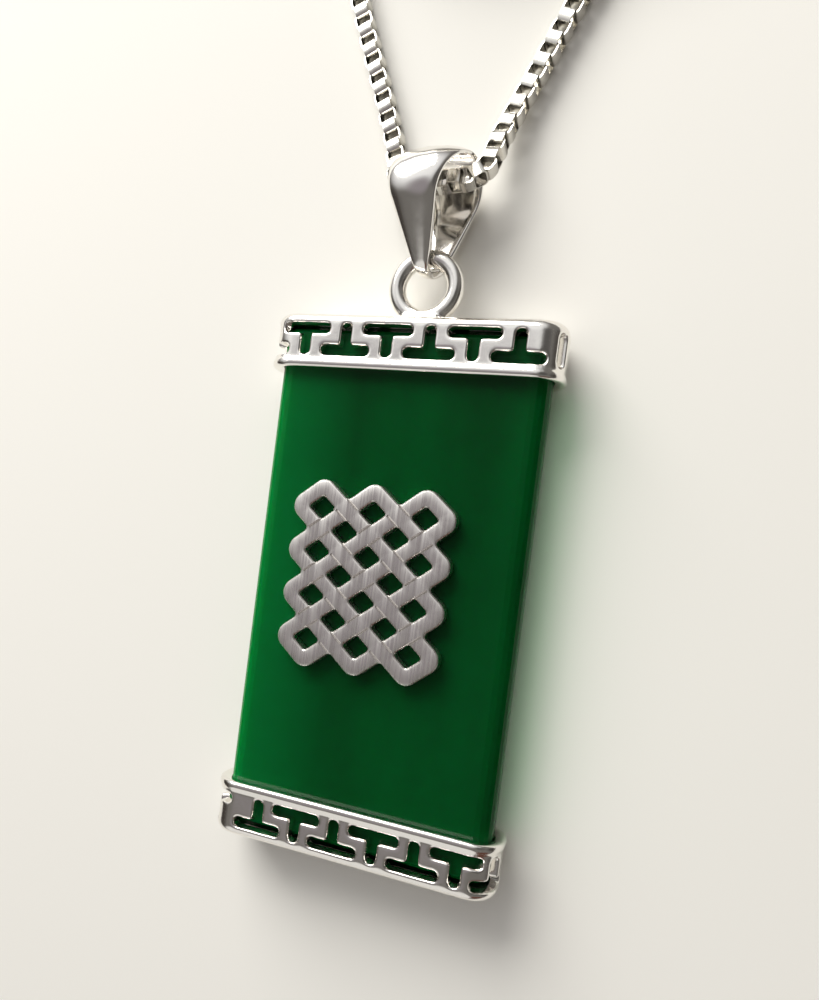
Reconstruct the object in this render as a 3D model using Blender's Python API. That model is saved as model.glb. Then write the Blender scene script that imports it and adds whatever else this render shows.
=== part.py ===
"""A jade plaque pendant lying on its back, with its bail and box chain.

Metres, +Z up. The plaque's face looks along +Z, its length runs along Y with the bail at +Y, and its width
along X. The origin is the middle of the pendant's footprint, on the surface that it lies on.
"""

import math

import bmesh
import bpy
from mathutils import Euler, Vector

MM = 0.001

# Jade slab
slab_width = 20.4 * MM
slab_length = 37.6 * MM
slab_thickness = 3.0 * MM
slab_edge_radius = 1.2 * MM
slab_end_chamfer = 0.25 * MM
glue_gap = 0.1 * MM

# Cast caps: a cup over each end of the slab
cap_wall = 0.65 * MM
cap_end_wall = 0.8 * MM
cap_end_gap = 0.3 * MM
cap_height = 4.14 * MM
cap_end_rounding = 0.6 * MM
rim_bead = 0.14 * MM
rim_bead_height = 0.7 * MM
rim_bead_slope = 0.2 * MM
rim_lip_chamfer = 0.16 * MM

# T-shaped windows round each cap. The pair in the sides sits nearer to the face that is on show.
slot_margin = 0.76 * MM
slot_height = 2.44 * MM
slot_stroke = 0.92 * MM
slot_bar = 3.9 * MM
slot_corner = 0.3 * MM
side_slot_corner = 0.2 * MM
slot_cut_over = 0.5 * MM
slot_cut_under = 0.35 * MM
slot_count = 6
side_slot_shift = 1.2 * MM
front_pitch = slab_width * 3.18 / 20.4
back_pitch = slab_width * 3.03 / 20.4
back_shift = slab_width * 0.62 / 20.4

# Hanging ring, soldered to the top cap
ring_radius = 2.21 * MM
ring_wire = 1.29 * MM
ring_sink = 0.3 * MM
ring_shift = 0.2 * MM
foot_width = 4.0 * MM
foot_depth = 1.7 * MM
foot_height = 0.6 * MM
foot_tiers = ((0.8, 0.21 * MM), (0.55, foot_height))
foot_roundness = 0.45

# Emblem: an endless knot cut from plate, laid out on a lattice of columns and rows
emblem_width = 12.2 * MM
emblem_height = 13.4 * MM
emblem_thickness = 0.9 * MM
emblem_edge = 0.15 * MM
emblem_x = -0.9 * MM
emblem_y = 0.7 * MM
knot_columns = 3
knot_rows = 4
knot_band = 1.15 * MM
knot_overhang = 0.25 * MM
knot_tip_radius = 1.03 * MM
knot_notch_radius = 0.3 * MM
knot_window_radius = 0.22 * MM

# Bail: a strap bent into a teardrop
bail_thickness = 0.55 * MM
bail_top_radius = 2.67 * MM
bail_reach = 4.5 * MM
bail_width = 5.3 * MM
bail_tip_width = 0.55 * MM
bail_taper = 1.2
bail_crown = 0.1 * MM
bail_flat_share = 0.8
bail_ring_gap = 0.3 * MM
bail_skew = 0.23
bail_roll = math.radians(-9)
bail_lean = math.radians(0.5)

# Box chain: a strand from the bail to each layer of a flat coil, 450 mm in all with the coil's turns
chain_width = 1.4 * MM
chain_gap = 0.3 * MM
strand_spacing = 2.1 * MM
curve_steps = 20
coil_edge = 0.3 * MM
coil_segments = 32
coil_pitch = 1.45 * MM
coil_turns = 2.615
coil_outer_radius = 13.4 * MM
coil_middle = Vector((1.0, 63.4, 0)) * MM
left_join = math.radians(201)
right_join = math.radians(-22)
left_route = [
    (-0.45, 29.95, 2.85),
    (-1.60, 29.95, 2.60),
    (-2.60, 30.15, 2.20),
    (-3.30, 30.80, 1.75),
    (-3.65, 31.85, 1.25),
    (-3.95, 33.10, 0.90),
    (-4.50, 34.80, 0.75),
    (-5.70, 37.98, 0.72),
    (-7.28, 41.91, 0.72),
    (-8.80, 45.89, 0.72),
    (-10.10, 49.50, 0.72),
    (-11.05, 52.90, 0.72),
]
right_route = [
    (-0.15, 29.95, 2.88),
    (1.00, 30.05, 2.95),
    (2.10, 30.10, 3.00),
    (3.05, 30.40, 2.95),
    (3.65, 31.05, 2.80),
    (3.95, 32.00, 2.45),
    (4.10, 33.20, 1.95),
    (4.50, 34.80, 1.40),
    (5.28, 37.00, 0.95),
    (6.10, 38.87, 0.76),
    (7.55, 42.24, 0.72),
    (8.95, 45.30, 0.76),
    (10.30, 48.00, 1.05),
    (11.60, 50.70, 1.65),
    (12.75, 53.10, 2.25),
]

# Spring-ring clasp and jump ring, just inside the coil
clasp_place = Vector((0.4, -5.9, 0)) * MM
clasp_radius = 1.95 * MM
clasp_wire = 1.1 * MM
clasp_eye_radius = 0.75 * MM
clasp_eye_wire = 0.5 * MM
clasp_tilt = math.radians(15)
clasp_lift = 0.22 * MM
jump_ring_radius = 1.25 * MM
jump_ring_wire = 0.55 * MM


def clear_scene():
    for obj in list(bpy.data.objects):
        bpy.data.objects.remove(obj, do_unlink=True)


def plain_material(name, color, roughness, metallic):
    material = bpy.data.materials.new(name)
    material.use_nodes = True
    shader = material.node_tree.nodes["Principled BSDF"]
    shader.inputs["Base Color"].default_value = (*color, 1)
    shader.inputs["Roughness"].default_value = roughness
    shader.inputs["Metallic"].default_value = metallic
    return material


def add_object(name, data, material=None, parent=None, location=(0, 0, 0)):
    obj = bpy.data.objects.new(name, data)
    bpy.context.scene.collection.objects.link(obj)
    obj.location = location
    obj.parent = parent
    if material:
        data.materials.append(material)
    return obj


def mesh_from(name, bm, smooth_angle=40, wound=False):
    """Closes off a bmesh: normals out, unless its faces are wound so, round faces smooth, sharp edges kept."""
    if not wound:
        bmesh.ops.recalc_face_normals(bm, faces=bm.faces)
    mesh = bpy.data.meshes.new(name)
    bm.to_mesh(mesh)
    bm.free()
    mesh.shade_smooth()
    mesh.set_sharp_from_angle(angle=math.radians(smooth_angle))
    return mesh


def loft(rings, closed=False):
    """A bmesh skin over rings of equally many points, with flat ends unless the rings close on themselves."""
    bm = bmesh.new()
    rows = [[bm.verts.new(point) for point in ring] for ring in rings]
    pairs = list(zip(rows, rows[1:]))
    if closed:
        pairs.append((rows[-1], rows[0]))
    else:
        bm.faces.new(rows[0])
        bm.faces.new(reversed(rows[-1]))
    for row, following in pairs:
        for i in range(len(row)):
            j = (i + 1) % len(row)
            bm.faces.new((row[i], following[i], following[j], row[j]))
    return bm


def torus(radius, wire, segments, sides):
    """A ring of round wire about Z, as a bmesh."""
    rings = []
    for i in range(segments):
        turn = math.tau * i / segments
        ring = []
        for j in range(sides):
            angle = math.tau * j / sides
            reach = radius + wire / 2 * math.cos(angle)
            ring.append((reach * math.cos(turn), reach * math.sin(turn), wire / 2 * math.sin(angle)))
        rings.append(ring)
    return loft(rings, closed=True)


def helper(name, mesh, parent, location=(0, 0, 0)):
    """An object that only cuts or joins."""
    obj = add_object(name, mesh, parent=parent, location=location)
    obj.hide_render = True
    obj.display_type = "WIRE"
    return obj


def boolean(obj, other, operation):
    modifier = obj.modifiers.new(other.name, "BOOLEAN")
    modifier.operation = operation
    modifier.object = other


def rounded_section(width, thickness, radius, y, corner_steps=5):
    """Points round a rounded rectangle in the plane of that y, centred on the slab's middle depth."""
    points = []
    for quarter, (side_x, side_z) in enumerate(((1, 1), (-1, 1), (-1, -1), (1, -1))):
        for step in range(corner_steps + 1):
            angle = math.radians(90 * (quarter + step / corner_steps))
            x = side_x * (width / 2 - radius) + radius * math.cos(angle)
            z = side_z * (thickness / 2 - radius) + radius * math.sin(angle)
            points.append(Vector((x, y, z)))
    return points


# Sizes that follow from the slab and the walls round it
cavity_width = slab_width + 2 * glue_gap
cavity_thickness = slab_thickness + 2 * glue_gap
cavity_radius = slab_edge_radius + glue_gap
body_width = cavity_width + 2 * cap_wall
body_thickness = cavity_thickness + 2 * cap_wall
body_radius = cavity_radius + cap_wall
plaque_length = slab_length + 2 * (cap_end_gap + cap_end_wall)
middle_z = body_thickness / 2 + rim_bead
face_z = middle_z + slab_thickness / 2


def make_slab(material, parent):
    rings = []
    end = slab_length / 2
    for inset, y in ((slab_end_chamfer, -end), (0, slab_end_chamfer - end), (0, end - slab_end_chamfer),
                     (slab_end_chamfer, end)):
        rings.append(rounded_section(slab_width - 2 * inset, slab_thickness - 2 * inset,
                                     slab_edge_radius - inset, y))
    return add_object("jade_slab", mesh_from("jade_slab", loft(rings)), material, parent, (0, 0, middle_z))


def cap_profile():
    """(distance from the closed end, distance outside the body wall) down the outside of a cap."""
    stations = []
    for angle in (90, 60, 30, 0):
        turn = math.radians(angle)
        stations.append((cap_end_rounding * (1 - math.sin(turn)), cap_end_rounding * (math.cos(turn) - 1)))
    bead_start = cap_height - rim_bead_height
    stations.append((bead_start, 0))
    stations.append((bead_start + rim_bead_slope, rim_bead))
    stations.append((cap_height - rim_lip_chamfer, rim_bead))
    stations.append((cap_height, rim_bead - 2 * rim_lip_chamfer))
    return stations


def cap_body():
    """The cup itself: closed end at y = 0, open end at y = -cap_height, hollow for the slab."""
    rings = []
    for down, out in cap_profile():
        rings.append(rounded_section(body_width + 2 * out, body_thickness + 2 * out, body_radius + out, -down))
    cavity = (cavity_width, cavity_thickness, cavity_radius)
    rings.append(rounded_section(*cavity, rim_lip_chamfer - cap_height))
    rings.append(rounded_section(*cavity, -cap_end_wall))
    return loft(rings)


def wall_point(along, out):
    """(x, z) of the point that lies out outside a cap's wall, and along round it from the face's middle."""
    half_flat = body_width / 2 - body_radius
    side_flat = body_thickness - 2 * body_radius
    arc = body_radius * math.pi / 2
    runs = [("flat", half_flat), ("arc", arc), ("flat", side_flat), ("arc", arc), ("flat", 2 * half_flat),
            ("arc", arc), ("flat", side_flat), ("arc", arc), ("flat", half_flat)]
    along %= sum(length for _, length in runs)
    x, z, heading = 0.0, body_thickness / 2, 0.0
    for kind, length in runs:
        step = min(along, length)
        if kind == "flat":
            x += step * math.cos(heading)
            z -= step * math.sin(heading)
        else:
            centre = (x - body_radius * math.sin(heading), z - body_radius * math.cos(heading))
            heading += step / body_radius
            x = centre[0] + body_radius * math.sin(heading)
            z = centre[1] + body_radius * math.cos(heading)
        along -= step
        if along <= 0:
            break
    return x + out * math.sin(heading), z + out * math.cos(heading)


def slot_places(side_shift):
    """(distance round the wall, whether the bar is at the closed end, corner) of each window, alternately."""
    half_round = body_width + body_thickness - (4 - math.pi) * body_radius
    places = []
    for k in range(slot_count):
        places.append(((k - (slot_count - 1) / 2) * front_pitch, k % 2 == 0, slot_corner))
    places.append((half_round / 2 - side_shift, True, side_slot_corner))
    for k in range(slot_count):
        x = ((slot_count - 1) / 2 - k) * back_pitch + back_shift
        places.append((half_round - x, k % 2 == 1, slot_corner))
    places.append((side_shift - half_round / 2, False, side_slot_corner))
    return places


def slot_cutter(along, bar_at_end, corner, bm):
    """Adds one T-shaped window, bent round the wall, to the cutter."""
    half_bar, half_stem = slot_bar / 2, slot_stroke / 2
    columns = [-half_bar, -(half_bar + half_stem) / 2, -half_stem, half_stem, (half_bar + half_stem) / 2,
               half_bar]
    levels = [-slot_margin, -slot_margin - slot_stroke, -slot_margin - slot_height]
    if not bar_at_end:
        levels = [-slot_margin, -slot_margin - slot_height + slot_stroke, -slot_margin - slot_height]
    bar_row = 0 if bar_at_end else 1
    depths = (slot_cut_over, -cap_wall - slot_cut_under)
    cells = {(c, r) for c in range(5) for r in range(2) if r == bar_row or c == 2}
    points = {}
    for side, out in enumerate(depths):
        for c, r in cells:
            for dc, dr in ((0, 0), (1, 0), (1, 1), (0, 1)):
                key = (c + dc, r + dr, side)
                if key not in points:
                    x, z = wall_point(along + columns[c + dc], out)
                    points[key] = bm.verts.new((x, levels[r + dr], z))
    corner_edges = []
    for c, r in cells:
        corners = [(c, r), (c + 1, r), (c + 1, r + 1), (c, r + 1)]
        bm.faces.new([points[(*place, 0)] for place in reversed(corners)])
        bm.faces.new([points[(*place, 1)] for place in corners])
        for (a, b), step in zip(zip(corners, corners[1:] + corners[:1]), ((0, -1), (1, 0), (0, 1), (-1, 0))):
            if (c + step[0], r + step[1]) not in cells:
                bm.faces.new((points[(*a, 0)], points[(*b, 0)], points[(*b, 1)], points[(*a, 1)]))
    for c, r in {key[:2] for key in points}:
        around = [(c - 1, r - 1), (c, r - 1), (c, r), (c - 1, r)]
        filled = [cell in cells for cell in around]
        if sum(filled) in (1, 3):
            corner_edges.append(bm.edges.get((points[(c, r, 0)], points[(c, r, 1)])))
    bmesh.ops.bevel(bm, geom=corner_edges, offset=corner, segments=2, affect="EDGES")


def make_cap(name, material, parent, location, turned):
    """A cap with its closed end at +Y, or turned over and end for end."""
    bm = cap_body()
    cap = add_object(name, mesh_from(name, bm), material, parent, location)
    cutter = bmesh.new()
    for along, bar_at_end, corner in slot_places(-side_slot_shift if turned else side_slot_shift):
        slot_cutter(along, bar_at_end, corner, cutter)
    windows = helper(name + "_windows", mesh_from(name + "_windows", cutter, wound=True), cap)
    boolean(cap, windows, "DIFFERENCE")
    if turned:
        cap.rotation_euler = (math.pi, 0, 0)
    return cap


def add_ring(cap):
    """Joins the hanging ring and its solder foot to the top cap."""
    ring_y = ring_radius + ring_wire / 2 - ring_sink
    ring = helper("hanging_ring", mesh_from("hanging_ring", torus(ring_radius, ring_wire, 28, 10)), cap,
                  (ring_shift, ring_y, 0))
    boolean(cap, ring, "UNION")
    rings = []
    for share, y in ((1, -ring_sink), *foot_tiers):
        width, depth = foot_width * share, foot_depth * share
        rings.append(rounded_section(width, depth, depth * foot_roundness, y, corner_steps=3))
    foot = helper("ring_foot", mesh_from("ring_foot", loft(rings)), cap, (ring_shift, 0, 0))
    boolean(cap, foot, "UNION")
    return ring_y


def rounded(points, radii, steps):
    """The closed outline through points, each corner made an arc of its own radius."""
    outline = []
    for i, corner in enumerate(points):
        before = (points[i - 1] - corner).normalized()
        after = (points[(i + 1) % len(points)] - corner).normalized()
        half = before.angle(after) / 2
        middle = (before + after).normalized()
        centre = corner + middle * (radii[i] / math.sin(half))
        side = 1 if before.cross(after).z > 0 else -1
        for step in range(steps + 1):
            angle = side * (math.pi / 2 - half) * (2 * step / steps - 1)
            back = -middle * radii[i]
            outline.append(centre + Vector((back.x * math.cos(angle) + back.y * math.sin(angle),
                                            back.y * math.cos(angle) - back.x * math.sin(angle), 0)))
    return outline


def knot_outlines(inset):
    """The knot plate's outer outline and its windows, all drawn inset metres inside the metal."""
    cell_x = (emblem_width - 2 * knot_overhang) / knot_columns
    cell_y = (emblem_height - 2 * knot_overhang) / knot_rows
    slope = math.atan2(cell_y, cell_x)
    half_band = knot_band / 2 - inset
    out_x, out_y = half_band / math.sin(slope), half_band / math.cos(slope)
    left, bottom = -knot_columns * cell_x / 2, -knot_rows * cell_y / 2

    def node(i, j, dx=0.0, dy=0.0):
        return Vector((left + i * cell_x / 2 + dx, bottom + j * cell_y / 2 + dy, 0))

    last_i, last_j = 2 * knot_columns, 2 * knot_rows
    corners, tips = [], []
    for j in range(1, last_j):
        corners.append(node(last_i, j, out_x) if j % 2 else node(last_i - 1, j, out_x))
        tips.append(j % 2)
    for i in range(last_i - 1, 0, -1):
        corners.append(node(i, last_j, 0, out_y) if i % 2 else node(i, last_j - 1, 0, out_y))
        tips.append(i % 2)
    for j in range(last_j - 1, 0, -1):
        corners.append(node(0, j, -out_x) if j % 2 else node(1, j, -out_x))
        tips.append(j % 2)
    for i in range(1, last_i):
        corners.append(node(i, 0, 0, -out_y) if i % 2 else node(i, 1, 0, -out_y))
        tips.append(i % 2)
    radii = [knot_tip_radius - inset if tip else knot_notch_radius + inset for tip in tips]
    outlines = [rounded(corners, radii, 2)]
    for i in range(1, last_i):
        for j in range(1, last_j):
            if (i + j) % 2 == 0:
                window = [node(i, j, cell_x / 2 - out_x), node(i, j, 0, cell_y / 2 - out_y),
                          node(i, j, out_x - cell_x / 2), node(i, j, 0, out_y - cell_y / 2)]
                outlines.append(rounded(window, [knot_window_radius + inset] * 4, 1))
    return outlines


def make_emblem(material, parent):
    bm = bmesh.new()
    levels = ((0, 0), (emblem_thickness - emblem_edge, 0), (emblem_thickness, emblem_edge))
    rows = []
    for z, inset in levels:
        outlines = knot_outlines(inset)
        rows.append([[bm.verts.new((point + Vector((0, 0, z))) / MM) for point in outline]
                     for outline in outlines])
    for lower, upper in zip(rows, rows[1:]):
        for ring, above in zip(lower, upper):
            for i in range(len(ring)):
                j = (i + 1) % len(ring)
                bm.faces.new((ring[i], ring[j], above[j], above[i]))
    for row in (rows[0], rows[-1]):
        edges = []
        for ring in row:
            edges += [bm.edges.get((ring[i], ring[i - 1])) for i in range(len(ring))]
        bmesh.ops.triangle_fill(bm, edges=edges, use_beauty=True)
    bmesh.ops.scale(bm, vec=(MM, MM, MM), verts=bm.verts)
    return add_object("emblem", mesh_from("emblem", bm), material, parent,
                      (emblem_x, emblem_y, face_z + glue_gap))


def bail_rings(count=30):
    """Cross-sections of the strap round its loop. The origin is the ring's wire, +Y to the top, +Z the face."""
    foot_radius = ring_wire / 2 + bail_ring_gap + bail_thickness / 2
    slope = math.asin((bail_top_radius - foot_radius) / bail_reach)
    straight = bail_reach * math.cos(slope)
    top_arc = bail_top_radius * (math.pi + 2 * slope)
    foot_arc = foot_radius * (math.pi - 2 * slope)
    whole = top_arc + foot_arc + 2 * straight
    far = whole / 2
    rings = []
    for i in range(count):
        along = whole * i / count - far
        side = 1 if along >= 0 else -1
        gone = abs(along)
        if gone <= top_arc / 2:
            angle = gone / bail_top_radius
            y = bail_reach + bail_top_radius * math.cos(angle)
            z = bail_top_radius * math.sin(angle)
            normal = (math.cos(angle), math.sin(angle))
        elif gone <= top_arc / 2 + straight:
            angle = math.pi / 2 + slope
            down = gone - top_arc / 2
            y = bail_reach + bail_top_radius * math.cos(angle) - down * math.cos(slope)
            z = bail_top_radius * math.sin(angle) - down * math.sin(slope)
            normal = (math.cos(angle), math.sin(angle))
        else:
            angle = (far - gone) / foot_radius
            y = -foot_radius * math.cos(angle)
            z = foot_radius * math.sin(angle)
            normal = (-math.cos(angle), math.sin(angle))
        width = bail_tip_width + (bail_width - bail_tip_width) * (1 - (gone / far) ** bail_taper)
        half = bail_thickness / 2
        flat = bail_flat_share * width / 2
        across = ((-width / 2, 0), (-flat, half), (0, half + bail_crown), (flat, half), (width / 2, 0),
                  (flat, -half), (0, -half), (-flat, -half))
        ring = []
        for x, out in across:
            deep = side * (z + out * normal[1])
            ring.append(Vector((x - bail_skew * deep, y + out * normal[0], deep)))
        rings.append(ring)
    return rings


def bail_turn(pitch):
    return Euler((pitch, bail_roll, bail_lean), "YXZ")


def resting_pitch(points, pivot_z):
    """The pitch at which the bail's lowest point just meets the surface."""
    low, high = 0.0, math.radians(40)
    for _ in range(40):
        pitch = (low + high) / 2
        matrix = bail_turn(pitch).to_matrix()
        if pivot_z + min((matrix @ point).z for point in points) < 0:
            low = pitch
        else:
            high = pitch
    return high


def make_bail(material, parent, pivot):
    rings = bail_rings()
    points = [point for ring in rings for point in ring]
    pitch = resting_pitch(points, pivot.z)
    bail = add_object("bail", mesh_from("bail", loft(rings, closed=True)), material, parent, pivot)
    bail.rotation_mode = "YXZ"
    bail.rotation_euler = bail_turn(pitch)
    matrix = bail_turn(pitch).to_matrix()
    return bail, max((pivot + matrix @ point).y for point in points)


def smooth_path(points, spacing):
    """Points about spacing apart on a smooth curve through the route's own points."""
    ends = [2 * points[0] - points[1], *points, 2 * points[-1] - points[-2]]
    fine = []
    for before, start, end, after in zip(ends, ends[1:], ends[2:], ends[3:]):
        for step in range(curve_steps):
            t = step / curve_steps
            fine.append(0.5 * (2 * start + (end - before) * t + (2 * before - 5 * start + 4 * end - after) * t**2
                               + (3 * start - before - 3 * end + after) * t**3))
    fine.append(points[-1])
    return even(fine, spacing)


def even(points, spacing):
    """The same path with its points evenly spaced."""
    whole = sum((b - a).length for a, b in zip(points, points[1:]))
    count = max(2, round(whole / spacing))
    result, gone, i = [points[0]], 0.0, 0
    for k in range(1, count):
        goal = whole * k / count
        while gone + (points[i + 1] - points[i]).length < goal:
            gone += (points[i + 1] - points[i]).length
            i += 1
        step = points[i + 1] - points[i]
        result.append(points[i] + step * ((goal - gone) / step.length))
    result.append(points[-1])
    return result


def layer_height(layer):
    """The height of the chain's middle in the coil's lower (0) or upper (1) layer."""
    return chain_width / 2 + layer * (chain_width + chain_gap)


def strand_path(route, join, layer):
    """Evenly spaced points from the middle of the bail to the start of a coil layer's outer turn."""
    points = [Vector(point) * MM for point in route]
    start = Vector((math.cos(join), math.sin(join), 0)) * coil_outer_radius
    points.append(coil_middle + start + Vector((0, 0, layer_height(layer))))
    return smooth_path(points, strand_spacing)


def make_strand(name, route, join, layer, material, parent):
    """The stretch of chain from the bail to where it meets its coil."""
    clear = coil_outer_radius + chain_width + chain_gap
    path = [p for p in strand_path(route, join, layer) if (p - coil_middle).xy.length > clear]
    curve = bpy.data.curves.new(name, "CURVE")
    curve.dimensions = "3D"
    curve.bevel_depth = chain_width / 2
    curve.bevel_resolution = 2
    curve.use_fill_caps = True
    spline = curve.splines.new("POLY")
    spline.points.add(len(path) - 1)
    for place, point in zip(spline.points, path):
        place.co = (*point, 1)
    return add_object(name, curve, material, parent)


def make_coil(name, layer, material, parent):
    """A ring the size of one layer of the chain's turns."""
    inner = coil_outer_radius - coil_turns * coil_pitch - chain_width / 2
    outer = coil_outer_radius + chain_width / 2
    half = chain_width / 2
    profile = [(inner + coil_edge, -half), (outer - coil_edge, -half), (outer, coil_edge - half),
               (outer, half - coil_edge), (outer - coil_edge, half), (inner + coil_edge, half),
               (inner, half - coil_edge), (inner, coil_edge - half)]
    rings = []
    for i in range(coil_segments):
        turn = math.tau * i / coil_segments
        rings.append([(r * math.cos(turn), r * math.sin(turn), z) for r, z in profile])
    middle = coil_middle + Vector((0, 0, layer_height(layer)))
    return add_object(name, mesh_from(name, loft(rings, closed=True)), material, parent, middle)


def make_clasp(material, parent):
    """A spring ring with its eye, and the jump ring that it closes on."""
    rise = clasp_radius * math.sin(clasp_tilt)
    middle = coil_middle + clasp_place + Vector((0, 0, clasp_wire / 2 + rise + clasp_lift))
    clasp = add_object("clasp", mesh_from("clasp", torus(clasp_radius, clasp_wire, 20, 8)), material, parent,
                       middle)
    clasp.rotation_euler = (0, clasp_tilt, 0)
    eye_reach = clasp_radius + clasp_wire / 2 + clasp_eye_radius - clasp_eye_wire / 2
    eye = helper("clasp_eye", mesh_from("clasp_eye", torus(clasp_eye_radius, clasp_eye_wire, 12, 6)), clasp,
                 (eye_reach, 0, 0))
    boolean(clasp, eye, "UNION")
    linked = middle + Vector((-clasp_radius * math.cos(clasp_tilt), 0, rise))
    jump_ring = add_object("jump_ring", mesh_from("jump_ring", torus(jump_ring_radius, jump_ring_wire, 16, 6)),
                           material, parent, linked)
    jump_ring.rotation_euler = (math.pi / 2, 0, 0)


def build():
    clear_scene()
    jade = plain_material("polished_green_jade", (0.01, 0.12, 0.04), 0.15, 0)
    cast_silver = plain_material("silver_plated_casting", (0.82, 0.81, 0.79), 0.2, 1)
    brushed_silver = plain_material("brushed_silver_plate", (0.78, 0.77, 0.76), 0.4, 1)
    bail_silver = plain_material("polished_silver_strap", (0.85, 0.84, 0.83), 0.15, 1)
    chain_silver = plain_material("polished_chain_silver", (0.78, 0.77, 0.72), 0.2, 1)

    plaque = add_object("plaque_middle", None)
    make_slab(jade, plaque)
    end_y = plaque_length / 2
    top_cap = make_cap("top_cap", cast_silver, plaque, (0, end_y, middle_z), False)
    make_cap("bottom_cap", cast_silver, plaque, (0, -end_y, middle_z), True)
    ring_y = add_ring(top_cap)
    make_emblem(brushed_silver, plaque)

    pivot = Vector((ring_shift, end_y + ring_y + ring_radius, middle_z))
    bail_top = make_bail(bail_silver, plaque, pivot)[1]

    make_strand("chain_left", left_route, left_join, 0, chain_silver, plaque)
    make_strand("chain_right", right_route, right_join, 1, chain_silver, plaque)
    make_coil("chain_coil_lower", 0, chain_silver, plaque)
    make_coil("chain_coil_upper", 1, chain_silver, plaque)
    make_clasp(chain_silver, plaque)

    # The origin goes to the middle of the pendant's footprint.
    plaque.location = (0, -(bail_top - end_y) / 2, 0)


build()
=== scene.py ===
import math

import bmesh
import bpy
from mathutils import Euler, Matrix, Vector


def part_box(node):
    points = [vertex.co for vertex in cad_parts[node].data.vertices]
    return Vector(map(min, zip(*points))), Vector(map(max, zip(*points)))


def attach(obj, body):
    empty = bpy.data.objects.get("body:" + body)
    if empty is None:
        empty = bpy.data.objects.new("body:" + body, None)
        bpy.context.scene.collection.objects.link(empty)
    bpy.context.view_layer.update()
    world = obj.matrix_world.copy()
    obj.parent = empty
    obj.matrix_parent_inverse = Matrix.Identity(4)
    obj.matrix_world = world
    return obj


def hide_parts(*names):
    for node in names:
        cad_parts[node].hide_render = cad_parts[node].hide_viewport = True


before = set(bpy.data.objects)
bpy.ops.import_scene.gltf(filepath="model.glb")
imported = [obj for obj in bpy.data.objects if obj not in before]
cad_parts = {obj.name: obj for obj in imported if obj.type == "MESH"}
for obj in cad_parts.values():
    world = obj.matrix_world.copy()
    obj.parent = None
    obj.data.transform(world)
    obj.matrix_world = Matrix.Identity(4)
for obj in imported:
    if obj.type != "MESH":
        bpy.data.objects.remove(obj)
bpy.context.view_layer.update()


# Camera. A hand-held close-up taken a little above the plaque's face and to its right, so that the right
# side of the slab and the far ends of both caps show.
MM = 0.001
slab_low, slab_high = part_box("jade_slab")
plaque = (Vector(slab_low) + Vector(slab_high)) / 2
camera_from_plaque = Vector((16.912, 3.854, 53.335)) * MM
camera_turn = (math.radians(1.915), math.radians(19.481), math.radians(7.791))
focal_length = 27.245
view_shift = 0.045

camera_data = bpy.data.cameras.new("camera")
camera_data.lens = focal_length
camera_data.shift_x = view_shift
camera_data.shift_y = view_shift
camera_data.clip_start = 1 * MM
camera = bpy.data.objects.new("camera", camera_data)
bpy.context.scene.collection.objects.link(camera)
camera.location = plaque + camera_from_plaque
camera.rotation_euler = camera_turn
bpy.context.scene.camera = camera


# Box chain: square links folded from flat silver strip, each turned a quarter from the last and hooked
# through it. It runs through the bail, and the length behind the view lies as a flat double coil.
chain_width = 1.4 * MM
link_length = 1.14 * MM
link_band = 1.0 * MM
link_wall = 0.12 * MM
link_pitch = 0.83 * MM
link_corner = 0.26 * MM
coil_pitch = 1.45 * MM
coil_outer_radius = 13.4 * MM
coil_middle = Vector((1.0, 63.4, 0)) * MM
coil_layers = (0.7 * MM, 2.4 * MM)
coil_step = math.radians(15)
left_join, left_leave = math.radians(201), math.radians(-740)
right_join, right_leave = math.radians(-22), math.radians(920)
left_lean, right_lean = math.radians(-8), math.radians(-9)
lean_kept, lean_fade = 14 * MM, 8 * MM
route_step = 0.4 * MM
left_route = [
    (-0.45, 29.95, 2.85),
    (-1.60, 29.95, 2.60),
    (-2.60, 30.15, 2.20),
    (-3.30, 30.80, 1.75),
    (-3.65, 31.85, 1.25),
    (-3.95, 33.10, 0.90),
    (-4.50, 34.80, 0.79),
    (-5.70, 37.98, 0.77),
    (-7.28, 41.91, 0.77),
    (-8.80, 45.89, 0.77),
    (-10.10, 49.50, 0.77),
    (-11.05, 52.90, 0.77),
]
left_end = [(8.2, -4.6, 0.7), (6.9, -5.6, 0.75), (5.0, -5.9, 0.8)]
right_route = [
    (-0.15, 29.95, 2.88),
    (1.00, 30.05, 2.95),
    (2.10, 30.10, 3.00),
    (3.05, 30.40, 2.95),
    (3.65, 31.05, 2.80),
    (3.95, 32.00, 2.45),
    (4.10, 33.20, 1.95),
    (4.50, 34.80, 1.40),
    (5.28, 37.00, 0.95),
    (6.10, 38.87, 0.82),
    (7.55, 42.24, 0.77),
    (8.95, 45.30, 0.80),
    (10.30, 48.00, 1.05),
    (11.60, 50.70, 1.65),
    (12.75, 53.10, 2.25),
]
right_end = [(-8.0, -4.6, 2.3), (-6.3, -5.7, 2.0), (-3.3, -5.9, 1.7)]


def linear(code, alpha=1.0):
    """The linear colour of an sRGB hex code."""
    channels = []
    for i in (0, 2, 4):
        value = int(code[i:i + 2], 16) / 255
        channels.append(value / 12.92 if value <= 0.04045 else ((value + 0.055) / 1.055) ** 2.4)
    return (*channels, alpha)


def node(tree, kind, links=(), **settings):
    """Adds a node. links gives what feeds an input: a socket, or the input's value."""
    added = tree.nodes.new(kind)
    for name, value in settings.items():
        setattr(added, name, value)
    for name, value in dict(links).items():
        socket = added.inputs[name]
        if isinstance(value, bpy.types.NodeSocket):
            tree.links.new(value, socket)
        else:
            socket.default_value = value
    return added


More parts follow.
